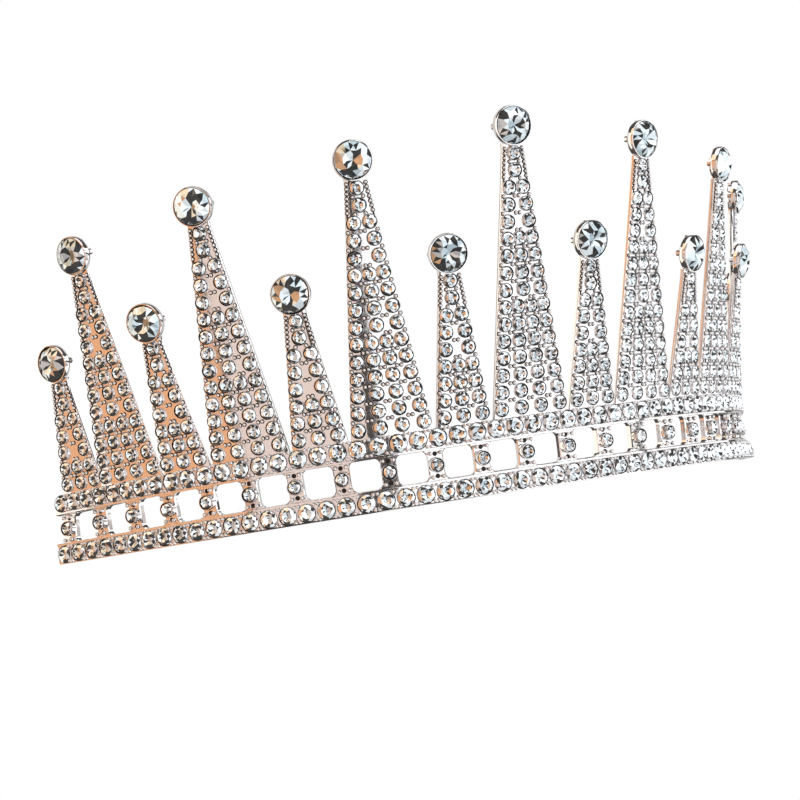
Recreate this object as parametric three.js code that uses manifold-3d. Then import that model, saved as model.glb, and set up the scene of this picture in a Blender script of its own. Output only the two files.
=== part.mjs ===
// A bridal tiara: a horseshoe band of two crystal rails joined by an openwork frame, which carries fifteen
// tapering spike plates that flare outwards. Each plate's hollowed tip holds a bezel cup and its crystal.
//
// Every piece is drawn on the flat pattern of the band and then bent onto the head's curve:
//   s runs along the band from its middle, h up the leaning face, d outwards from the setting plane.
import * as THREE from "three";
import { mergeVertices } from "three/addons/utils/BufferGeometryUtils.js";
import Module from "manifold-3d";

const wasm = await Module();
wasm.setup();

// Driving dimensions, in millimetres and degrees.
const gap = 0.3; // clearance between pieces that are soldered or set together

const railCrystals = 55; // in each rail
const railPitch = 3.4; // centre to centre of the rail crystals
const railCrystalDiameter = 3.05;
const railSpacing = 9.2; // centre line of one rail to the other
const railOuterHalf = 1.7; // lower rail's centre line to the edge that the band stands on
const railTopHalf = 1.45; // upper rail's centre line to the edge under the plates
const railGalleryHalf = 2.0; // rail edge on the gallery side, with its plain flange
const railThickness = 0.8;
const crystalSink = 0.35; // how far the rail's face lies behind the setting plane
const crystalRise = 0.8; // crown of a rail crystal in front of the setting plane

const bendRadius = 76.5; // of the round front of the band, at the setting plane
const bendHalfLength = 73.3; // band on each side of the middle that is bent round; the ends run straight
const leanFront = 5; // outward lean of the face at the middle
const leanFall = 12; // how much less it leans at the ends
const leanPower = 5; // how late along the band the lean falls away

const frameThickness = 1.2;
const postCount = 23;
const postsPerSpike = 1.5;
const postWidth = 2.8;
const firstPostInset = 2.3; // left end of the band to the centre of the first post
const frameEndInset = 0.9; // the frame stops short of the rails at both ends
const windowCorner = 1.1;

const spikeCount = 15;
const spikeEndMargin = 1.7; // band left free beyond the outermost plates
const tallFlare = 7; // how much further out than the band a tall plate leans
const shortFlare = 9;
const tallBase = 14.15; // width of a tall plate where it stands on the band
const tipWidth = 3.9;
const plateThickness = 1;
const tallestRows = 16; // rows of pavé crystals on the middle plate
const shortRows = 9; // on the short plates next to it
const rowPitch = 2.86;
const firstRowRise = 1.3; // plate's lower edge to the centre of its first row
const bezelReach = 4.55; // centre of the last row to the centre of the bezel cup

const cupDiameter = 6.8;
const cupDepth = 2.15;
const cupRim = 0.8; // in front of the setting plane
const cupWall = 0.35;
const cupFloor = 1;
const cupChamfer = 0.5;
const seatDepth = 0.7; // cup's rim down to the ledge that the crystal sits on
const topCrystalCrown = 1.4; // crystal in front of the cup's rim
const tableDiameter = 3.5;

const roundSides = 12; // facets of turned pieces
const plateColumns = 4; // how finely plates, rails and frame follow the bend
const frameColumns = 45;
const crystalSteps = 4; // along each rail crystal

// Where things lie, worked out from the sizes above.
const halfLength = (railCrystals * railPitch) / 2;
const restHeight = -railOuterHalf; // the plane that the band stands on, on the flat pattern
const bandTop = railSpacing + railTopHalf;
const spikePitch = (2 * (halfLength - spikeEndMargin)) / spikeCount;
const postPitch = spikePitch / postsPerSpike;
const plateBottom = bandTop + gap;
const railFront = -crystalSink;
const railBack = railFront - railThickness;
const frameFront = railBack - gap;
const frameBack = frameFront - frameThickness;
const plateFront = -gap / 2;
const plateBack = plateFront - plateThickness;
const shortBase = 2 * (spikePitch - gap) - tallBase;
const cupBack = cupRim - cupDepth;

const lean = (s) => THREE.MathUtils.degToRad(leanFront - leanFall * Math.abs(s / halfLength) ** leanPower);

// How far out and up the face's point at height h and depth d stands. A spike leans all over as the band
// does at the spike's middle, and flares outwards from the band's upper edge.
function profileAt(s, h, d, spike) {
  const tilt = lean(spike ? spike.s : s);
  const flared = tilt + THREE.MathUtils.degToRad(spike ? spike.flare : 0);
  const foot = spike ? plateBottom : h;
  const out = foot * Math.sin(tilt) + (h - foot) * Math.sin(flared) + d * Math.cos(flared);
  const up = foot * Math.cos(tilt) + (h - foot) * Math.cos(flared) - d * Math.sin(flared);
  return { out, up };
}

// A point of the flat pattern on the bent and leaning band.
function place(s, h, d, spike) {
  const bent = THREE.MathUtils.clamp(s, -bendHalfLength, bendHalfLength);
  const heading = bent / bendRadius;
  const straight = s - bent;
  const x = bendRadius * Math.sin(heading) + straight * Math.cos(heading);
  const y = bendRadius * (1 - Math.cos(heading)) + straight * Math.sin(heading);
  const { out, up } = profileAt(s, h, d, spike);
  return new THREE.Vector3(x + out * Math.sin(heading), y - out * Math.cos(heading), up);
}

// The place on the band of a point w across a spike, so that the spike keeps its true width.
function across(spike, w, h) {
  const curvature = Math.abs(spike.s) < bendHalfLength ? 1 / bendRadius : 0;
  return spike.s + w / (1 + curvature * profileAt(spike.s, h, 0, spike).out);
}

// The axes of a rigid piece on the band at s and h: X along the band, Y up the face and Z outwards.
function axesAt(s, h, spike) {
  const origin = place(s, h, 0, spike);
  const upwards = place(s, h + 1, 0, spike).sub(origin);
  const outwards = place(s, h, 1, spike).sub(origin);
  const along = new THREE.Vector3().crossVectors(upwards, outwards);
  return new THREE.Matrix4().makeBasis(along, upwards, outwards).setPosition(origin);
}

// A box of the flat pattern, cut into a grid and moved point by point.
function bendBox(columns, rows, move) {
  const geometry = new THREE.BoxGeometry(1, 1, 1, columns, rows, 1).translate(0.5, 0.5, 0.5);
  const points = geometry.attributes.position;
  for (let i = 0; i < points.count; i++) {
    const moved = move(points.getX(i), points.getY(i), points.getZ(i));
    points.setXYZ(i, moved.x, moved.y, moved.z);
  }
  return geometry;
}

function toSolid(geometry) {
  const bare = geometry.clone();
  for (const name of ["normal", "uv"]) bare.deleteAttribute(name);
  const merged = mergeVertices(bare, 1e-4);
  const triVerts = new Uint32Array(merged.index.array);
  return new wasm.Manifold(
    new wasm.Mesh({ numProp: 3, vertProperties: merged.attributes.position.array, triVerts }),
  );
}

function toGeometry(solid) {
  const mesh = solid.getMesh();
  const geometry = new THREE.BufferGeometry();
  geometry.setAttribute("position", new THREE.BufferAttribute(mesh.vertProperties, 3));
  geometry.setIndex(new THREE.BufferAttribute(mesh.triVerts, 1));
  geometry.computeVertexNormals();
  return geometry;
}

// The band's lower edge is cut level, so that it stands on a table all the way round.
function placeOnRest(s, h, d) {
  const point = place(s, h, d);
  if (h === restHeight) point.z = restHeight;
  return point;
}

const metal = () => new THREE.MeshStandardMaterial({ color: 0xd9d9dc, metalness: 1, roughness: 0.12 });
const crystal = () => new THREE.MeshStandardMaterial({ color: 0xf2f6fa, metalness: 0, roughness: 0.02 });

const tiara = new THREE.Group();

function addPiece(name, geometry, material) {
  const mesh = new THREE.Mesh(geometry, material);
  mesh.name = name;
  tiara.add(mesh);
  return mesh;
}

// A rail: a strip bent along the whole band, between two heights.
function railGeometry(low, high) {
  return bendBox(railCrystals, 1, (u, v, w) =>
    placeOnRest(
      THREE.MathUtils.lerp(-halfLength, halfLength, u),
      THREE.MathUtils.lerp(low, high, v),
      THREE.MathUtils.lerp(railBack, railFront, w),
    ),
  );
}

// A row of round crystals, cut with sloping crowns and joined where they almost touch.
function crystalRow(centre) {
  const back = railFront + gap;
  const join = 0.35; // height of the web between two crystals, as a share of a crystal's
  const tableShare = 0.72; // a crystal's table, as a share of its girdle
  return bendBox(railCrystals * crystalSteps, 1, (u, v, w) => {
    const step = Math.round(u * railCrystals * crystalSteps) % crystalSteps;
    const swell = Math.sqrt(Math.sin((step / crystalSteps) * Math.PI));
    const round = (railCrystalDiameter / 2) * Math.max(join, swell);
    const crown = THREE.MathUtils.lerp(1, tableShare, w);
    return place(
      THREE.MathUtils.lerp(-halfLength, halfLength, u),
      centre + (2 * v - 1) * round * crown,
      THREE.MathUtils.lerp(back, crystalRise, w),
    );
  });
}

// One window of the band frame, as the solid that cuts it, between two posts.
function frameWindow(index) {
  const width = (postPitch - postWidth) / 2;
  const height = railSpacing / 2 - railGalleryHalf;
  const r = windowCorner;
  const outline = new THREE.Shape();
  outline.absarc(width - r, height - r, r, 0, 0.5 * Math.PI);
  outline.absarc(r - width, height - r, r, 0.5 * Math.PI, Math.PI);
  outline.absarc(r - width, r - height, r, Math.PI, 1.5 * Math.PI);
  outline.absarc(width - r, r - height, r, 1.5 * Math.PI, 2 * Math.PI);
  const depth = frameThickness + 2 * gap;
  const prism = new THREE.ExtrudeGeometry(outline, { depth, bevelEnabled: false, curveSegments: 1 });
  const s = firstPostInset - halfLength + (index + 0.5) * postPitch;
  return toSolid(prism.translate(0, 0, frameBack - gap).applyMatrix4(axesAt(s, railSpacing / 2)));
}

function frameGeometry() {
  const end = halfLength - frameEndInset;
  let frame = toSolid(
    bendBox(frameColumns, 1, (u, v, w) =>
      placeOnRest(
        THREE.MathUtils.lerp(-end, end, u),
        THREE.MathUtils.lerp(restHeight, bandTop, v),
        THREE.MathUtils.lerp(frameBack, frameFront, w),
      ),
    ),
  );
  for (let i = 0; i < postCount - 1; i++) frame = frame.subtract(frameWindow(i));
  return toGeometry(frame);
}

addPiece("band_frame", frameGeometry(), metal());
addPiece("lower_rail", railGeometry(restHeight, railGalleryHalf), metal());
addPiece("upper_rail", railGeometry(railSpacing - railGalleryHalf, bandTop), metal());
addPiece("lower_rail_crystals", crystalRow(0), crystal());
addPiece("upper_rail_crystals", crystalRow(railSpacing), crystal());

// A spike's place, flare, width and height: tall and short plates by turns, lower towards the band's ends.
function spikeAt(number) {
  const fromMiddle = number - (spikeCount + 1) / 2;
  const tall = number % 2 === 0;
  const fallen = Math.abs(fromMiddle);
  const rows = tall ? tallestRows - fallen / 2 : shortRows - Math.round((fallen - 1) / 3);
  const bezelHeight = plateBottom + firstRowRise + (rows - 1) * rowPitch + bezelReach;
  return {
    s: fromMiddle * spikePitch,
    flare: tall ? tallFlare : shortFlare,
    base: tall ? tallBase : shortBase,
    bezelHeight,
  };
}

// A turned piece on the axis of a bezel cup.
// Its profile gives radius and height in front of the setting plane.
function turned(spike, profile) {
  const points = profile.map(([radius, height]) => new THREE.Vector2(radius, height));
  const lathe = new THREE.LatheGeometry(points, roundSides).rotateX(Math.PI / 2);
  return lathe.applyMatrix4(axesAt(spike.s, spike.bezelHeight, spike));
}

// A plate tapers straight from its base to the bezel cup, and its end is hollowed to the cup's round.
function plateGeometry(spike) {
  const { base, bezelHeight } = spike;
  const seatRadius = cupDiameter / 2 + gap;
  const neck = bezelHeight - seatRadius - gap;
  const heights = [plateBottom, (plateBottom + neck) / 2, neck, bezelHeight];
  const widths = [base, (base + tipWidth) / 2, tipWidth, tipWidth];
  const last = heights.length - 1;
  return bendBox(plateColumns, last, (u, v, w) => {
    const row = Math.round(v * last);
    const offset = (u - 0.5) * widths[row];
    const hollow = row === last ? Math.sqrt(seatRadius ** 2 - offset ** 2) : 0;
    const h = heights[row] - hollow;
    const depth = THREE.MathUtils.lerp(plateBack, plateFront, w);
    return place(across(spike, offset, h), h, depth, spike);
  });
}

function cupGeometry(spike) {
  const radius = cupDiameter / 2;
  return turned(spike, [
    [0, cupBack],
    [radius - cupChamfer, cupBack],
    [radius, cupBack + cupChamfer],
    [radius, cupRim],
    [radius - cupWall, cupRim],
    [radius - cupWall, cupRim - seatDepth],
    [0, cupBack + cupFloor],
  ]);
}

// A crystal with a pointed back, a girdle inside the cup's rim and a flat table.
function topCrystalGeometry(spike) {
  const girdle = cupDiameter / 2 - cupWall - gap;
  return turned(spike, [
    [0, cupBack + cupFloor + gap],
    [girdle, cupRim - seatDepth + gap],
    [girdle, cupRim],
    [tableDiameter / 2, cupRim + topCrystalCrown],
    [0, cupRim + topCrystalCrown],
  ]);
}

for (let number = 1; number <= spikeCount; number++) {
  const spike = spikeAt(number);
  const label = String(number).padStart(2, "0");
  addPiece(`spike_plate_${label}`, plateGeometry(spike), metal());
  addPiece(`bezel_cup_${label}`, cupGeometry(spike), metal());
  addPiece(`top_crystal_${label}`, topCrystalGeometry(spike), crystal());
}

// The origin lies at the middle of the underside of the whole tiara.
const box = new THREE.Box3().setFromObject(tiara, true);
tiara.position.set(-(box.min.x + box.max.x) / 2, -(box.min.y + box.max.y) / 2, -box.min.z);

const assembly = new THREE.Group();
assembly.add(tiara);

export default assembly;
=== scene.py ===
import math
import random

import bpy
import numpy as np
from mathutils import Matrix, Vector


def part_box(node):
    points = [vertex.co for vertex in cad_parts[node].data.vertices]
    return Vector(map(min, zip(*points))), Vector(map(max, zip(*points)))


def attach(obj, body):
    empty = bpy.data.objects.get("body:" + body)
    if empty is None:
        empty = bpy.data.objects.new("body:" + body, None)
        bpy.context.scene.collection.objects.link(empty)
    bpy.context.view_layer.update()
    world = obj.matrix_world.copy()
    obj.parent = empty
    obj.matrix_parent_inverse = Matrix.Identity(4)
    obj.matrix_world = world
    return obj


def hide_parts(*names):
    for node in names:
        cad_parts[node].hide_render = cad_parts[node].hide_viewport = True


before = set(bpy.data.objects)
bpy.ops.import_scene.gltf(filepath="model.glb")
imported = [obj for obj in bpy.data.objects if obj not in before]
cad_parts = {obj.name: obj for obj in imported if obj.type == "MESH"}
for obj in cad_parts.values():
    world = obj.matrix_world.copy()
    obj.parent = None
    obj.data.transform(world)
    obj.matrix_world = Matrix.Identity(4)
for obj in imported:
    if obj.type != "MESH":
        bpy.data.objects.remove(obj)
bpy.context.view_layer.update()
print("frame loaded:", len(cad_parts), "nodes")

mm = 0.001
draw = random.Random(7)  # every uneven turn and tilt comes from here

# the band as a flat pattern, in mm and degrees: s along it, h up its face, d outwards
band = {
    "crystals": 55,  # in each rail
    "pitch": 3.4,
    "railSpacing": 9.2,
    "outerHalf": 1.7,  # lower rail's centre line to its lower edge
    "topHalf": 1.45,  # upper rail's centre line to its upper edge
    "galleryHalf": 2.0,  # a rail's centre line to its edge on the gallery side
    "bendRadius": 76.5,
    "bendHalf": 73.3,  # the ends beyond this are straight
    "leanFront": 5.0,
    "leanFall": 12.0,  # how much of the lean is lost by the ends
    "leanPower": 5.0,
    "gap": 0.3,
    "railFront": -0.35,
    "railBack": -1.15,
    "frameFront": -1.45,
    "frameBack": -2.65,
    "spikes": 15,
    "spikeEndMargin": 1.7,
    "postsPerSpike": 1.5,
}
halfLength = band["crystals"] * band["pitch"] / 2
restHeight = -band["outerHalf"]
bandTop = band["railSpacing"] + band["topHalf"]
plateBottom = bandTop + band["gap"]
galleryMiddle = band["railSpacing"] / 2
spikePitch = 2 * (halfLength - band["spikeEndMargin"]) / band["spikes"]
postPitch = spikePitch / band["postsPerSpike"]


def lean(s):
    return np.radians(band["leanFront"] - band["leanFall"] * np.abs(s / halfLength) ** band["leanPower"])


def profileAt(s, h, d, spikeAt=None, flare=0.0):
    # how far out and up the face a point stands; a spike leans as one and flares from the band's top edge
    tilt = lean(s if spikeAt is None else spikeAt)
    flared = tilt + math.radians(flare)
    foot = h if spikeAt is None else plateBottom
    out = foot * np.sin(tilt) + (h - foot) * np.sin(flared) + d * np.cos(flared)
    up = foot * np.cos(tilt) + (h - foot) * np.cos(flared) - d * np.sin(flared)
    return out, up


def bend(s, h, d, spikeAt=None, flare=0.0):
    # a point of the flat pattern on the head's curve
    s, h, d = np.broadcast_arrays(*(np.asarray(v, float) for v in (s, h, d)))
    bent = np.clip(s, -band["bendHalf"], band["bendHalf"])
    heading = bent / band["bendRadius"]
    straight = s - bent
    x = band["bendRadius"] * np.sin(heading) + straight * np.cos(heading)
    y = band["bendRadius"] * (1 - np.cos(heading)) + straight * np.sin(heading)
    out, up = profileAt(s, h, d, spikeAt, flare)
    return np.stack([x + out * np.sin(heading), y - out * np.cos(heading), up], -1)


def across(one, w, h):
    # place on the band of a point w across a spike, so the spike keeps its width
    curvature = 1 / band["bendRadius"] if abs(one["s"]) < band["bendHalf"] else 0.0
    return one["s"] + w / (1 + curvature * profileAt(one["s"], h, 0.0, one["s"], one["flare"])[0])


# the frame's origin is under the middle of the whole tiara, so the pattern is shifted to meet the lower rail
stations = np.linspace(-halfLength, halfLength, band["crystals"] + 1)
railEdges = [
    bend(stations, h, d)
    for h in (restHeight, band["galleryHalf"])
    for d in (band["railBack"], band["railFront"])
]
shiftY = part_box("lower_rail")[0][1] / mm - min(edge[:, 1].min() for edge in railEdges)
shift = np.array([0, shiftY, -restHeight])


def place(s, h, d, spikeAt=None, flare=0.0):
    return bend(s, h, d, spikeAt, flare) + shift


def axesAt(s, h, spikeAt=None, flare=0.0):
    # rigid axes on the band: columns are along the band, up the face and outwards, then the origin
    origin = place(s, h, 0, spikeAt, flare)
    up = place(s, h + 1, 0, spikeAt, flare) - origin
    out = place(s, h, 1, spikeAt, flare) - origin
    return np.stack([np.cross(up, out), up, out], -1), origin


# shapes: points in mm, faces, and each face's material slot (0 bright, 1 dark)
def newShape():
    return {"points": [], "faces": [], "slots": [], "count": 0}


def addShape(shape, points, faces, slots=0):
    points = np.asarray(points, float)
    start = shape["count"]
    shape["points"].append(points)
    shape["faces"] += [tuple(i + start for i in face) for face in faces]
    shape["slots"] += list(slots) if hasattr(slots, "__len__") else [slots] * len(faces)
    shape["count"] += len(points)


def setShape(shape, part, s, h, d=0.0, turn=0.0, tip=(0.0, 0.0), one=None):
    # puts a rigid part on the band, or on one spike, turned about its own axis and tipped a little
    points, faces, slots = part
    axes, origin = axesAt(s, h, one["s"], one["flare"]) if one else axesAt(s, h)
    c, n = math.cos(turn), math.sin(turn)
    spin = np.array([[c, -n, 0], [n, c, 0], [0, 0, 1]])
    rock = np.array(Matrix.Rotation(tip[0], 3, "X") @ Matrix.Rotation(tip[1], 3, "Y"))
    local = points @ spin.T @ rock.T + [0, 0, d]
    addShape(shape, local @ axes.T + origin, faces, slots)


def handIn(name, shape, materials, replaced=None, smooth=None):
    # makes the mesh, gives it what it's made of, hangs it on the root body and hides the solid it stands for
    mesh = bpy.data.meshes.new(name)
    mesh.from_pydata(np.concatenate(shape["points"]) * mm, [], shape["faces"])
    for material in materials:
        mesh.materials.append(material)
    mesh.polygons.foreach_set("material_index", shape["slots"])
    piece = bpy.data.objects.new(name, mesh)
    bpy.context.scene.collection.objects.link(piece)
    if smooth is not None:
        mesh.shade_smooth()
        mesh.set_sharp_from_angle(angle=math.radians(smooth))
    mesh.update()
    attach(piece, "root")
    if replaced:
        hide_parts(replaced)


def circle(radius, height, sides, offset=0.0):
    angles = (2 * math.pi * (i + offset) / sides for i in range(sides))
    return [(radius * math.cos(a), radius * math.sin(a), height) for a in angles]


def turned(profile, sides, slot=0):
    # a round part about its own axis, from (radius, height) pairs that start and end on the axis
    points, faces, rings = [], [], []
    for radius, height in profile:
        start = len(points)
        points += circle(radius, height, sides) if radius else [(0, 0, height)]
        rings.append(list(range(start, len(points))))
    for low, high in zip(rings, rings[1:]):
        for i in range(sides):
            j = (i + 1) % sides
            face = [low[i % len(low)], low[j % len(low)], high[j % len(high)], high[i % len(high)]]
            faces.append(tuple(dict.fromkeys(face)))
    return np.array(points), faces, [slot] * len(faces)


def ringOf(profile, sides, slots):
    # a round part with a hole: its (radius, height) pairs close on themselves, with one slot for each step
    points = [point for radius, height in profile for point in circle(radius, height, sides)]
    faces = []
    for k in range(len(profile)):
        low, high = k * sides, (k + 1) % len(profile) * sides
        for i in range(sides):
            j = (i + 1) % sides
            faces.append((low + i, low + j, high + j, high + i))
    return np.array(points), faces, [slot for slot in slots for _ in range(sides)]


def dome(radius, rise, sides=8, face=None):
    # a prong's bead on a short stem; a dark ring of painted shade lies round its foot, at the height of face
    steps = 3
    stem = -1.2 * radius
    arc = (k * math.pi / 2 / steps for k in range(steps))
    profile = [(0, stem), (0.75 * radius, stem)] + [(radius * math.cos(a), rise * math.sin(a)) for a in arc]
    points, faces, slots = turned(profile + [(0, rise)], sides)
    if face is None:
        return points, faces, slots
    low = face - 0.05
    # a thin dark ring just above the face: painted shade round the bead's foot
    shadeRing, shadeRingFaces, _ = turned([(0, low), (1.42 * radius, low), (1.36 * radius, face), (0, face)], sides)
    faces = faces + [tuple(i + len(points) for i in corners) for corners in shadeRingFaces]
    return np.concatenate([points, shadeRing]), faces, slots + [1] * len(shadeRingFaces)


def cutCrystal(radius, crown, table, depth, sunk=0.30, folds=8):
    # a round brilliant: a crown of that many folds, and through its table the star of the foiled pavilion
    points, faces = [], []
    sides = 2 * folds

    def ring(count, share, height, offset=0.0):
        start = len(points)
        points.extend(circle(share * radius, height, count, offset))
        return list(range(start, start + count))

    under = ring(sides, 0.86, -sunk * radius)
    girdleLow = ring(sides, 1.0, -0.06 * radius)
    girdle = ring(sides, 1.0, 0.0)
    mains = ring(folds, (1 + table) / 2 + 0.02, crown * 0.60, 0.5)
    corners = ring(folds, table, crown)
    pits = ring(folds, table * 0.60, crown - depth * 0.42, 0.5)
    base, culet = len(points), len(points) + 1
    points += [(0, 0, -sunk * radius), (0, 0, crown - depth)]
    for i in range(sides):
        j = (i + 1) % sides
        faces.append((base, under[j], under[i]))
        faces.append((under[i], under[j], girdleLow[j], girdleLow[i]))
        faces.append((girdleLow[i], girdleLow[j], girdle[j], girdle[i]))
    for i in range(folds):
        j = (i + 1) % folds
        faces.append((girdle[2 * i], girdle[2 * i + 1], mains[i]))
        faces.append((girdle[2 * i + 1], girdle[(2 * i + 2) % sides], mains[i]))
        faces.append((girdle[2 * i], mains[i], corners[i], mains[i - 1]))
        faces.append((mains[i], corners[j], corners[i]))
        faces.append((corners[i], corners[j], pits[i]))
        faces.append((corners[i], pits[i], culet))
        faces.append((pits[i], corners[j], culet))
    return np.array(points), faces, [0] * len(faces)


def linear(hexColour):
    values = [int(hexColour[i : i + 2], 16) / 255 for i in (1, 3, 5)]
    return [v / 12.92 if v <= 0.04045 else ((v + 0.055) / 1.055) ** 2.4 for v in values] + [1.0]


def addNode(owner, kind, settings=None, links=None):
    # adds one node to a material or world, sets its properties and inputs, and links inputs to outputs
    tree = owner.node_tree
    node = tree.nodes.new(kind)
    for key, value in (settings or {}).items():
        if isinstance(key, str) and hasattr(node, key):
            setattr(node, key, value)
        else:
            node.inputs[key].default_value = value
    for key, source in (links or {}).items():
        tree.links.new(source, node.inputs[key])
    return node


def newMaterial(name, look, metallic):
    material = bpy.data.materials.new(name)
    material.use_nodes = True
    shader = material.node_tree.nodes["Principled BSDF"]
    shader.inputs["Base Color"].default_value = linear(look["colour"])
    shader.inputs["Metallic"].default_value = metallic
    shader.inputs["Roughness"].default_value = look["roughness"]
    return material, shader


silverPlate = {
    "colour": "#ECEBEC",
    "stain": "#C9C7C8",
    "roughness": 0.07,
    "waveMm": 1.5,  # ripple of the casting
    "waveDepthMm": 0.014,
    "waveStrength": 0.6,
    "marksPerMm": 1.9,  # handling marks
}


def rhodiumPlatedCasting(name, look):
    # cast zinc alloy, tumbled bright and rhodium plated: mirror-like, with the faint waves of the casting
    # under the plating, so that long reflections break up a little
    material, shader = newMaterial(name, look, 1.0)
    where = addNode(material, "ShaderNodeTexCoord").outputs["Object"]
    waves = addNode(
        material,
        "ShaderNodeTexNoise",
        {"Scale": 1 / (look["waveMm"] * mm), "Detail": 2.0, "Roughness": 0.4},
        {"Vector": where},
    )
    bump = addNode(
        material,
        "ShaderNodeBump",
        {"Strength": look["waveStrength"], "Distance": look["waveDepthMm"] * mm},
        {"Height": waves.outputs["Fac"]},
    )
    # the marks dull the mirror and grey it in patches
    marks = addNode(
        material,
        "ShaderNodeTexNoise",
        {"Scale": look["marksPerMm"] / mm, "Detail": 4.0, "Roughness": 0.6},
        {"Vector": where},
    )
    sharp, dull = look["roughness"] * 0.6, look["roughness"] * 2.0
    blur = addNode(
        material,
        "ShaderNodeMapRange",
        {"From Min": 0.35, "From Max": 0.75, "To Min": sharp, "To Max": dull},
        {"Value": marks.outputs["Fac"]},
    )
    fade = addNode(
        material,
        "ShaderNodeMapRange",
        {"From Min": 0.55, "From Max": 0.9, "To Min": 0.0, "To Max": 0.8},
        {"Value": marks.outputs["Fac"]},
    )
    tone = addNode(
        material,
        "ShaderNodeMix",
        {"data_type": "RGBA", 6: linear(look["colour"]), 7: linear(look["stain"])},
        {0: fade.outputs["Result"]},
    )
    links = material.node_tree.links
    links.new(tone.outputs[2], shader.inputs["Base Color"])
    links.new(blur.outputs["Result"], shader.inputs["Roughness"])
    links.new(bump.outputs["Normal"], shader.inputs["Normal"])
    return material


smallFoil = {"colour": "#F3F6F8", "cool": "#CCD5DB", "roughness": 0.015, "cellMm": 1.1}
tipFoil = {"colour": "#E8EFF2", "cool": "#A9B8C0", "roughness": 0.03, "cellMm": 1.6}


def foilBackedCrystal(name, look):
    # machine-cut glass with a silver foil behind it: each facet mirrors the room sharply, a little cooler
    # than the metal, and the tint changes from facet to facet, as cells of about a facet's size
    material, shader = newMaterial(name, look, 1.0)
    where = addNode(material, "ShaderNodeTexCoord").outputs["Object"]
    cells = addNode(material, "ShaderNodeTexVoronoi", {"Scale": 1 / (look["cellMm"] * mm)}, {"Vector": where})
    split = addNode(material, "ShaderNodeSeparateColor", {}, {"Color": cells.outputs["Color"]})
    tone = addNode(
        material,
        "ShaderNodeMix",
        {"data_type": "RGBA", 6: linear(look["colour"]), 7: linear(look["cool"])},
        {0: split.outputs["Red"]},
    )
    material.node_tree.links.new(tone.outputs[2], shader.inputs["Base Color"])
    return material


recess = {"colour": "#3B3735", "roughness": 0.45}

silver = rhodiumPlatedCasting("rhodium_plated_casting", silverPlate)
# bottoms of the settings, pits, channels and rings round the beads, painted dark as shade: dull and dark,
# so that each crystal and grain stands out against a thin painted shadow
dark = newMaterial("painted_shade_recess", recess, 1.0)[0]
crystal = foilBackedCrystal("foil_backed_cut_crystal", smallFoil)
tipCrystal = foilBackedCrystal("foil_backed_tip_crystal", tipFoil)

setting = {
    "tilt": math.radians(3.5),  # how unevenly crystals sit
    "turn": math.pi / 4,
    "sink": 0.1,  # how far a setting goes into the metal under it
    "heel": 0.2,  # how far its foot reaches in under the crystal
    "boreDepth": 0.28,
}


def uneven():
    # a crystal's turn and its two tilts
    turn, most = draw.uniform(0, setting["turn"]), setting["tilt"]
    return turn, (draw.uniform(-most, most), draw.uniform(-most, most))


def collet(size, face, sides):
    # a crystal's collar standing on a face, bright outside and on its lip, painted dark as shade in its bore
    r, lip, foot = size["crystalRadius"], size["lip"], face - setting["sink"]
    wall = r + size["colletWall"]
    profile = [(wall, foot), (wall, lip - size["lipDrop"]), (wall - size["lipRound"], lip)]
    profile += [(r + size["lipInset"], lip), (r + size["bore"], lip - setting["boreDepth"])]
    profile.append((r - setting["heel"], foot))
    return ringOf(profile, sides, [0, 0, 0, 1, 1, 1])


def strip(shape, heights, depths, columns=2 * band["crystals"], start=-halfLength, end=halfLength):
    # a strip along the band whose section is the closed line through (heights, depths), with flat ends;
    # nothing of it goes below the plane that the tiara stands on
    s = np.linspace(start, end, columns + 1)
    n = len(heights)
    grid = np.stack([place(s, h, d) for h, d in zip(heights, depths)], 1)
    grid[:, np.array(heights) <= restHeight, 2] = 0.0
    grid[:, :, 2] = np.maximum(grid[:, :, 2], 0.0)
    faces = []
    for c in range(columns):
        for k in range(n):
            a, b = c * n + k, c * n + (k + 1) % n
            faces.append((a, a + n, b + n, b))
    faces.append(tuple(range(n)))
    faces.append(tuple(columns * n + k for k in reversed(range(n))))
    addShape(shape, grid.reshape(-1, 3), faces)


rail = {
    "crystalRadius": 1.52,
    "crown": 0.42,
    "table": 0.6,
    "depth": 0.68,  # table to the pavilion's point
    "cupWall": 0.10,
    "cupShoulder": -0.05,
    "cupLip": 0.05,
    "cupBore": -0.2,
    "beadRadius": 0.30,
    "beadSpread": 0.36,  # either side of the middle between two crystals
    "beadHeight": 1.33,  # above and below the crystals' centre line
    "beadProud": 0.12,
    "edge": 0.10,  # beads to the strip's outer edge
    "chamfer": 0.12,
    "chamferDepth": 0.15,
    "flange": 0.42,
    "ridge": 0.28,
    "ridgeSlope": 0.06,
    "ridgeRound": 0.08,
}


def railSection(side):
    # (height from the centre line, depth): the strip behind the crystals and the raised flange by the gallery
    outer = band["outerHalf"] if side > 0 else rail["beadHeight"] + rail["edge"]
    inner = rail["beadHeight"] + rail["edge"] - rail["chamfer"]
    gallerySide, back, front = band["galleryHalf"], band["railBack"], band["railFront"]
    flange, top, soft = gallerySide - rail["flange"], front + rail["ridge"], rail["ridgeRound"]
    section = [(-outer, back), (-outer, front - rail["chamferDepth"]), (-inner, front), (flange, front)]
    section += [(flange + rail["ridgeSlope"], top), (gallerySide - soft, top)]
    return section + [(gallerySide, top - soft), (gallerySide, back)]


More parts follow.
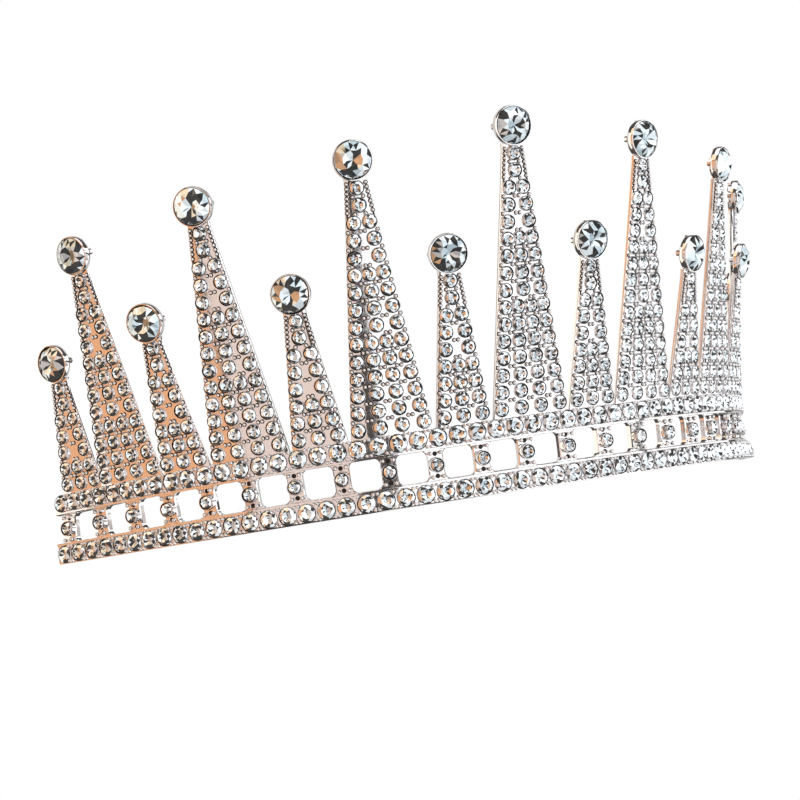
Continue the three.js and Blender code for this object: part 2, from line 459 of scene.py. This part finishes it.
def buildRail(name, centre, side):
    # side is +1 where the gallery lies above the rail and -1 where it lies below
    metalShape, crystalShape = newShape(), newShape()
    section = railSection(side)[::side]
    strip(metalShape, [centre + side * h for h, _ in section], [d for _, d in section])
    r, foot = rail["crystalRadius"], band["railFront"] - setting["sink"]
    wall = r + rail["cupWall"]
    profile = [(wall, foot), (wall, rail["cupShoulder"]), (r + 0.03, rail["cupLip"])]
    profile += [(r + 0.01, rail["cupBore"]), (r - setting["heel"], foot)]
    # the lip's inner slope and the bore take the dark colour: painted shade round each crystal
    cup = ringOf(profile, 24, [0, 0, 1, 1, 1])
    bead = dome(rail["beadRadius"], rail["beadRadius"] * 1.1)
    stone = cutCrystal(r, rail["crown"], rail["table"], rail["depth"])
    for i in range(band["crystals"]):
        s = (i - (band["crystals"] - 1) / 2) * band["pitch"]
        setShape(metalShape, cup, s, centre)
        setShape(crystalShape, stone, s, centre, 0.0, *uneven())
        if i == 0:
            continue
        for up in (-1, 1):
            for along in (-1, 1):
                at = s - band["pitch"] / 2 + along * rail["beadSpread"]
                setShape(metalShape, bead, at, centre + up * rail["beadHeight"], rail["beadProud"])
    handIn(name, metalShape, [silver, dark], name, 40)
    handIn(name + "_stones", crystalShape, [crystal], name + "_crystals")


buildRail("lower_rail", 0.0, 1)
buildRail("upper_rail", band["railSpacing"], -1)
print("rails built")

gallery = {
    "posts": 23,
    "postWidth": 2.8,
    "firstInset": 2.3,
    "endInset": 0.9,
    "corner": 1.1,
    "edge": 0.18,  # softened edge of the windows
    "hem": 0.02,  # closes the frame's long edges
    "crystalRadius": 1.12,
    "crown": 0.36,
    "table": 0.62,
    "depth": 0.6,
    "seat": -0.35,  # depth of the crystals' girdles
    "colletWall": 0.24,
    "lip": -0.22,
    "lipDrop": 0.13,
    "lipRound": 0.08,
    "lipInset": 0.08,
    "bore": 0.04,
    "beadRadius": 0.38,
    "beadAcross": 0.92,
    "beadUp": 2.02,
    "beadDepth": -0.75,
    "shadeSpotRadius": 0.42,  # dark spots between the beads, painted shade of the hollow there
    "shadeSpotUp": 1.9,
}


def roundedWindow(width, height, corner, perCorner=6):
    # the outline of a window, anticlockwise from the lower right corner
    points = []
    for right, up, turn in ((1, -1, -0.5), (1, 1, 0.0), (-1, 1, 0.5), (-1, -1, 1.0)):
        cx, cy = right * (width / 2 - corner), up * (height / 2 - corner)
        for k in range(perCorner + 1):
            a = (turn + 0.5 * k / perCorner) * math.pi
            points.append((cx + corner * math.cos(a), cy + corner * math.sin(a)))
    return np.array(points)


def windowRing(shape, middle, left, right):
    # one bay: the frame's front and back faces round a window, and the window's softened wall
    width = postPitch - gallery["postWidth"]
    height = band["railSpacing"] - 2 * band["galleryHalf"]
    edge, corner = gallery["edge"], gallery["corner"]
    inner = roundedWindow(width, height, corner)
    soft = roundedWindow(width + 2 * edge, height + 2 * edge, corner + edge)
    low, high = restHeight - galleryMiddle, bandTop - galleryMiddle
    outer = []
    for x, y in inner:
        # each outline point looks outwards to the bay's border
        share = max(abs(x) / (width / 2), abs(y) / (height / 2))
        u, v = x / share / (width / 2), y / share / (height / 2)
        reach = right - middle if u > 0 else middle - left
        outer.append((reach * u, high * v if v > 0 else -low * v))
    outer = np.array(outer)
    front, back = band["frameFront"], band["frameBack"]
    loops = [(outer, back), (soft, back), (inner, back + edge)]
    loops += [(inner, front - edge), (soft, front), (outer, front)]
    points = []
    for loop, depth in loops:
        points.append(place(middle + loop[:, 0], galleryMiddle + loop[:, 1], depth))
        points[-1][loop[:, 1] <= low + 1e-6, 2] = 0.0
        points[-1][:, 2] = np.maximum(points[-1][:, 2], 0.0)
    n = len(inner)
    faces = []
    for k in range(len(loops) - 1):
        for i in range(n):
            j = (i + 1) % n
            faces.append((k * n + i, k * n + j, (k + 1) * n + j, (k + 1) * n + i))
    addShape(shape, np.concatenate(points), faces)


def buildFrame():
    shape, stones = newShape(), newShape()
    end = halfLength - gallery["endInset"]
    front, back = band["frameFront"], band["frameBack"]
    posts = [gallery["firstInset"] - halfLength + i * postPitch for i in range(gallery["posts"])]
    for left, right in zip(posts, posts[1:]):
        windowRing(shape, (left + right) / 2, left, right)
    # plain ends, and the long edges above and below
    for a, b in ((-end, posts[0]), (posts[-1], end)):
        strip(shape, [restHeight, restHeight, bandTop, bandTop], [back, front, front, back], 4, a, b)
    for low in (restHeight, bandTop - gallery["hem"]):
        high = low + gallery["hem"]
        strip(shape, [low, low, high, high], [back, front, front, back], 90, -end, end)
    collar = collet(gallery, front, 24)
    bead = dome(gallery["beadRadius"], gallery["beadRadius"])
    proud = front + 0.02
    low = proud - 0.1
    # a thin dark disc just proud of the face: painted shade between the four beads
    shadeSpot = turned([(0, low), (gallery["shadeSpotRadius"], low), (gallery["shadeSpotRadius"], proud), (0, proud)], 12, 1)
    stone = cutCrystal(gallery["crystalRadius"], gallery["crown"], gallery["table"], gallery["depth"])
    for s in posts:
        setShape(shape, collar, s, galleryMiddle)
        setShape(stones, stone, s, galleryMiddle, gallery["seat"], *uneven())
        for up in (-1, 1):
            setShape(shape, shadeSpot, s, galleryMiddle + up * gallery["shadeSpotUp"])
            for along in (-1, 1):
                at = s + along * gallery["beadAcross"]
                setShape(shape, bead, at, galleryMiddle + up * gallery["beadUp"], gallery["beadDepth"])
    handIn("band_frame_openwork", shape, [silver, dark], "band_frame", 40)
    handIn("gallery_stones", stones, [crystal])


buildFrame()
print("openwork frame built")

spike = {
    "tallFlare": 7.0,  # degrees further out than the band
    "shortFlare": 9.0,
    "tallBase": 14.15,
    "tipWidth": 3.9,
    "front": -0.15,
    "back": -1.15,
    "tallestRows": 16,
    "shortRows": 9,
    "tallColumns": [1, 1, 2, 2, 2, 3, 3, 3, 3],  # crystals in each row from the top, then four
    "shortColumns": [1, 1, 2, 2, 2],  # then three
    "rowPitch": 2.86,
    "firstRowRise": 1.3,
    "bezelReach": 4.55,
    "neck": 4.0,  # the straight taper ends this far below the bezel's centre
    "foot": 0.28,  # the plate is soldered down onto the rail
    "hollow": 3.42,  # radius of the plate's hollowed end, round the bezel cup
    "edge": 0.22,  # rounding along the plate's edges
    "crystalRadius": 1.17,
    "crown": 0.3,
    "table": 0.62,
    "depth": 0.56,
    "sunk": 0.4,  # the crystal's hidden part, as a share of its radius
    "seat": 0.10,
    "colletWall": 0.17,
    "lip": 0.18,
    "lipDrop": 0.08,
    "lipRound": 0.06,
    "lipInset": 0.09,
    "bore": 0.03,
    "edgeMargin": 1.36,  # plate edge to the centre of the outer crystals
    "beadRadius": 0.29,
    "beadSpread": 0.36,  # either side of the middle between two crystals
    "edgeBead": 0.42,  # plate edge to the centre of its beads
    "singleBead": 0.9,  # beads beside a single crystal
    "grainPitch": 0.78,  # milgrain
    "grainInset": 0.36,
    "channel": (0.2, 0.52),  # the milgrain's sunk line, inset from the plate's edge
}
shortBase = 2 * (spikePitch - band["gap"]) - spike["tallBase"]


def spikeAt(number):
    # place, flare, height and width of a spike: tall and short by turns, lower towards the band's ends
    fromMiddle = number - (band["spikes"] + 1) / 2
    tall = number % 2 == 0
    fallen = abs(fromMiddle)
    rows = int(spike["tallestRows"] - fallen / 2 if tall else spike["shortRows"] - round((fallen - 1) / 3))
    return {
        "s": fromMiddle * spikePitch,
        "flare": spike["tallFlare"] if tall else spike["shortFlare"],
        "tall": tall,
        "rows": rows,
        "bezel": plateBottom + spike["firstRowRise"] + (rows - 1) * spike["rowPitch"] + spike["bezelReach"],
        "base": spike["tallBase"] if tall else shortBase,
    }


def neckOf(one):
    return one["bezel"] - spike["neck"]


def plateWidth(one, h):
    share = np.clip((h - plateBottom) / (neckOf(one) - plateBottom), 0, 1)
    return one["base"] + (spike["tipWidth"] - one["base"]) * share


def plateBody(shape, one):
    # the tapering plate, its long edges softened, its end hollowed to the bezel cup's round
    levels = list(np.linspace(plateBottom - spike["foot"], neckOf(one), 13)) + [one["bezel"]]
    e, front, back = spike["edge"], spike["front"], spike["back"]
    # section from the middle of the back to the middle of the front, as (share of half width, inset, depth)
    steps = [(0.0, 0, back), (0.5, 0, back), (1, -e, back), (1, 0, back + e), (1, 0, front - e)]
    steps += [(1, -0.3 * e, front - 0.3 * e), (1, -e, front), (0.5, 0, front), (0.0, 0, front)]
    section = steps + [(-share, -inset, depth) for share, inset, depth in reversed(steps[1:-1])]
    n = len(section)
    depths = np.array([depth for _, _, depth in section])
    rings = []
    for h in levels:
        w = float(plateWidth(one, h))
        offsets = np.array([share * w / 2 + inset for share, inset, _ in section])
        # the last level follows the cup
        heights = h - np.sqrt(spike["hollow"] ** 2 - offsets**2) if h == one["bezel"] else np.full(n, h)
        rings.append(place(across(one, offsets, heights), heights, depths, one["s"], one["flare"]))
    faces = []
    for r in range(len(rings) - 1):
        for k in range(n):
            a, b = r * n + k, r * n + (k + 1) % n
            faces.append((a, b, b + n, a + n))
    faces.append(tuple(reversed(range(n))))
    faces.append(tuple((len(rings) - 1) * n + k for k in range(n)))
    addShape(shape, np.concatenate(rings), faces)


def paveRows(one):
    # centres of the crystals, row by row from the bottom: (height, [offsets across])
    columns = spike["tallColumns"] if one["tall"] else spike["shortColumns"]
    most = 4 if one["tall"] else 3
    for row in range(one["rows"]):
        fromTop = one["rows"] - 1 - row
        count = columns[fromTop] if fromTop < len(columns) else most
        h = plateBottom + spike["firstRowRise"] + row * spike["rowPitch"]
        half = plateWidth(one, h) / 2 - spike["edgeMargin"]
        yield h, [0.0] if count == 1 else list(np.linspace(-half, half, count))


def channel(shape, one, side, low, high):
    # the sunk line that the milgrain stands in, painted as shade: a dark ribbon just proud of the plate's
    # face
    count = 7
    heights = np.linspace(low, high, count)
    edge = plateWidth(one, heights) / 2
    rows = []
    for inset in spike["channel"]:
        s = across(one, side * (edge - inset), heights)
        rows.append(place(s, heights, spike["front"] + 0.015, one["s"], one["flare"]))
    faces = [(i + count, i + count + 1, i + 1, i)[::side] for i in range(count - 1)]
    addShape(shape, np.concatenate(rows), faces, 1)


paveCollet = collet(spike, spike["front"], 20)
paveBead = dome(spike["beadRadius"], spike["beadRadius"] * 1.1, 10, spike["front"] + 0.03)
paveStone = cutCrystal(spike["crystalRadius"], spike["crown"], spike["table"], spike["depth"], spike["sunk"])


def buildSpike(number):
    one = spikeAt(number)
    shape, stones = newShape(), newShape()
    plateBody(shape, one)

    def put(target, part, w, h, d=0.0, turn=0.0, tip=(0.0, 0.0)):
        setShape(target, part, across(one, w, h), h, d, turn, tip, one)

    rows = list(paveRows(one))
    for h, offsets in rows:
        for w in offsets:
            put(shape, paveCollet, w, h)
            put(stones, paveStone, w, h, spike["seat"], *uneven())
    # beads between the rows, at the plate's edges and between the crystals
    for (low, _), (high, offsets) in zip(rows, rows[1:]):
        h = (low + high) / 2
        atEdge = plateWidth(one, h) / 2 - spike["edgeBead"]
        beads = [-atEdge, atEdge]
        for a, b in zip(offsets, offsets[1:]):
            beads += [(a + b) / 2 - spike["beadSpread"], (a + b) / 2 + spike["beadSpread"]]
        if len(offsets) == 1:
            beads = [-spike["singleBead"], spike["singleBead"]]
        for w in beads:
            put(shape, paveBead, w, h)
    # milgrain: a line of grains in a channel of painted shade on both edges, beside the single crystals
    neck = neckOf(one)
    lowest = next(h for h, offsets in reversed(rows) if len(offsets) > 1) + 1.2
    for side in (-1, 1):
        channel(shape, one, side, lowest - 0.3, neck + 0.55)
    h = neck + 0.2
    while h > lowest:
        w = plateWidth(one, h) / 2 - spike["grainInset"]
        for side in (-1, 1):
            put(shape, paveBead, side * w, h, 0.02)
        h -= spike["grainPitch"]
    label = f"{number:02d}"
    handIn(f"spike_{label}", shape, [silver, dark], f"spike_plate_{label}", 40)
    handIn(f"spike_{label}_stones", stones, [crystal])


for number in range(1, band["spikes"] + 1):
    buildSpike(number)
print("spikes built")

bezel = {
    "radius": 3.38,
    "wall": 0.2,
    "back": -1.33,
    "rim": 0.78,
    "collar": -0.6,  # depth where the cup steps in to its seat
    "seatRadius": 2.5,
    "seatChamfer": 0.2,
    "clawReach": 3.3,
    "clawWidth": 1.0,
    "clawRoot": 1.6,
    "clawCorner": 0.3,
    "floor": -0.75,
    "crystalRadius": 3.12,
    "crown": 1.0,
    "table": 0.54,
    "depth": 0.95,
    "sunk": 0.1,
    "folds": 11,
    "crystalDrop": 0.06,  # girdle below the rim
}


def claw(turn):
    # one arm of the seat's cross, rounded at its end, that grips the cup from behind
    half, reach, root = bezel["clawWidth"] / 2, bezel["clawReach"], bezel["clawRoot"]
    bent = reach - bezel["clawCorner"]
    outline = [(root, -half), (bent, -half), (reach, -half / 2)]
    outline += [(reach, half / 2), (bent, half), (root, half)]
    low, high = bezel["back"] + 0.02, bezel["collar"] - 0.05
    c, n = math.cos(turn), math.sin(turn)
    points = [(x * c - y * n, x * n + y * c, z) for z in (low, high) for x, y in outline]
    count = len(outline)
    faces = [tuple(reversed(range(count))), tuple(range(count, 2 * count))]
    faces += [(i, (i + 1) % count, (i + 1) % count + count, i + count) for i in range(count)]
    return np.array(points), faces, [0] * len(faces)


def bezelCup():
    # from the middle of the back, round the seat and the rolled rim, and down the inside, painted dark as
    # shade
    r, rim, back, collar = bezel["radius"], bezel["rim"], bezel["back"], bezel["collar"]
    inner, seat, chamfer, floor = r - bezel["wall"], bezel["seatRadius"], bezel["seatChamfer"], bezel["floor"]
    outside = [(0, back), (seat - chamfer, back), (seat, back + chamfer), (seat, collar - 0.15)]
    outside += [(r - 0.12, collar), (r - 0.02, collar + 0.14), (r, rim - 0.12), (r - 0.05, rim)]
    outside += [(inner + 0.03, rim + 0.02), (inner, rim - 0.1)]
    inside = [(inner - 0.05, rim - 0.4), (0.3, floor), (0, floor)]
    sides = 48
    points, faces, slots = turned(outside + inside, sides)
    bright = (len(outside) - 1) * sides
    return points, faces, slots[:bright] + [1] * (len(slots) - bright)


cupParts = [bezelCup()] + [claw(quarter * math.pi / 2) for quarter in range(4)]
tipStone = cutCrystal(
    bezel["crystalRadius"], bezel["crown"], bezel["table"], bezel["depth"], bezel["sunk"], bezel["folds"]
)


def buildTip(number):
    one = spikeAt(number)
    label = f"{number:02d}"
    shape, stoneShape = newShape(), newShape()
    for part in cupParts:
        setShape(shape, part, one["s"], one["bezel"], one=one)
    girdle = bezel["rim"] - bezel["crystalDrop"]
    setShape(stoneShape, tipStone, one["s"], one["bezel"], girdle, *uneven(), one)
    handIn(f"bezel_{label}", shape, [silver, dark], f"bezel_cup_{label}", 35)
    handIn(f"tip_crystal_{label}", stoneShape, [tipCrystal], f"top_crystal_{label}")


for number in range(1, band["spikes"] + 1):
    buildTip(number)
print("tips built")

view = {
    "lens": 78.79,
    "sensor": 36,
    "at": (-132.12, -269.55, -5.56),  # mm, from the origin of the band's pattern
    "angles": (94.32, 9.03, -21.31),
}
camera = bpy.data.objects.new("camera", bpy.data.cameras.new("camera"))
camera.data.lens = view["lens"]
camera.data.sensor_width = view["sensor"]
camera.data.clip_start = 0.01
camera.location = (Vector(view["at"]) + Vector(shift)) * mm
camera.rotation_euler = [math.radians(angle) for angle in view["angles"]]
bpy.context.scene.collection.objects.link(camera)
bpy.context.scene.camera = camera

studio = {
    "floorSize": 6.0,
    "distance": 0.9,  # of every panel
    "aimHeight": 0.035,
    "surround": 0.085,
    "surroundColour": "#FFEFE5",
}
paper = {"colour": "#F4F3F1", "roughness": 0.9}


def paleFloor():
    # matt paper, even and pale, that shows its upper side only
    mesh = bpy.data.meshes.new("floor")
    half = studio["floorSize"] / 2
    corners = [(-half, -half, 0), (half, -half, 0), (half, half, 0), (-half, half, 0)]
    mesh.from_pydata(corners, [], [(0, 1, 2, 3)])
    floor = bpy.data.objects.new("floor", mesh)
    bpy.context.scene.collection.objects.link(floor)
    material, shader = newMaterial("matt_paper_floor", paper, 0.0)
    side = addNode(material, "ShaderNodeNewGeometry")
    clear = addNode(material, "ShaderNodeBsdfTransparent")
    sides = {0: side.outputs["Backfacing"], 1: shader.outputs["BSDF"], 2: clear.outputs["BSDF"]}
    mix = addNode(material, "ShaderNodeMixShader", {}, sides)
    output = material.node_tree.nodes["Material Output"]
    material.node_tree.links.new(mix.outputs["Shader"], output.inputs["Surface"])
    mesh.materials.append(material)
    floor.visible_glossy = False
    floor.visible_shadow = False


def whiteRoom():
    # a dark room for the metal to mirror between the panels, and plain white for the eye
    world = bpy.data.worlds.new("room")
    world.use_nodes = True
    bpy.context.scene.world = world
    mirrored = world.node_tree.nodes["Background"]
    mirrored.inputs["Color"].default_value = linear(studio["surroundColour"])
    mirrored.inputs["Strength"].default_value = studio["surround"]
    seen = addNode(world, "ShaderNodeLightPath").outputs["Is Camera Ray"]
    white = addNode(world, "ShaderNodeBackground", {"Color": (1, 1, 1, 1), "Strength": 1.0})
    rooms = {0: seen, 1: mirrored.outputs["Background"], 2: white.outputs["Background"]}
    mix = addNode(world, "ShaderNodeMixShader", {}, rooms)
    world.node_tree.links.new(mix.outputs["Shader"], world.node_tree.nodes["World Output"].inputs["Surface"])


def panel(name, azimuth, elevation, width, height, colour, brightness):
    # a soft light panel that faces the tiara: azimuth in degrees from +X, anticlockwise seen from above;
    # brightness is how bright the panel looks in a mirror, whatever its size
    light = bpy.data.lights.new(name, "AREA")
    light.shape = "RECTANGLE"
    light.size, light.size_y = width, height
    light.color = linear(colour)[:3]
    light.energy = brightness * math.pi * width * height
    a, e = math.radians(azimuth), math.radians(elevation)
    direction = Vector((math.cos(a) * math.cos(e), math.sin(a) * math.cos(e), math.sin(e)))
    lamp = bpy.data.objects.new(name, light)
    lamp.location = direction * studio["distance"] + Vector((0, 0, studio["aimHeight"]))
    lamp.rotation_euler = direction.to_track_quat("Z", "Y").to_euler()
    lamp.visible_camera = False
    bpy.context.scene.collection.objects.link(lamp)


paleFloor()
whiteRoom()
# the gaps between the front panels draw dark lines in the facets that face upwards
panel("front_low_panel", -66, -21, 1.5, 0.72, "#FFFFFF", 1.35)
panel("front_middle_panel", -66, 12, 1.5, 0.17, "#FFFFFF", 1.5)
panel("front_high_panel", -66, 31, 1.5, 0.22, "#FFFFFF", 1.5)
panel("right_low_panel", -1, -20, 0.8, 0.68, "#FFFFFF", 1.25)
panel("right_high_panel", -1, 18, 0.8, 0.3, "#FFFFFF", 1.4)
panel("right_back_panel", 45, 5, 0.5, 1.2, "#FFFFFF", 0.55)
panel("warm_panel", 187, -4, 0.71, 1.1, "#F2AE7A", 1.0)
panel("warm_high_panel", 185, 48, 0.7, 0.55, "#FFDDB8", 1.3)
panel("left_back_panel", 146, 5, 0.62, 1.2, "#FFF3E4", 1.25)
panel("pale_panel", -134.5, -4, 0.5, 1.0, "#FFE8DC", 0.85)
panel("back_panel", 93, 18, 0.9, 0.7, "#FFF8F2", 0.7)
panel("top_panel", -60, 75, 1.0, 1.0, "#FFFFFF", 1.3)
panel("bounce_panel", -80, -65, 0.8, 0.6, "#FFFFFF", 0.9)
bpy.context.scene.view_settings.view_transform = "Standard"
print("studio set")
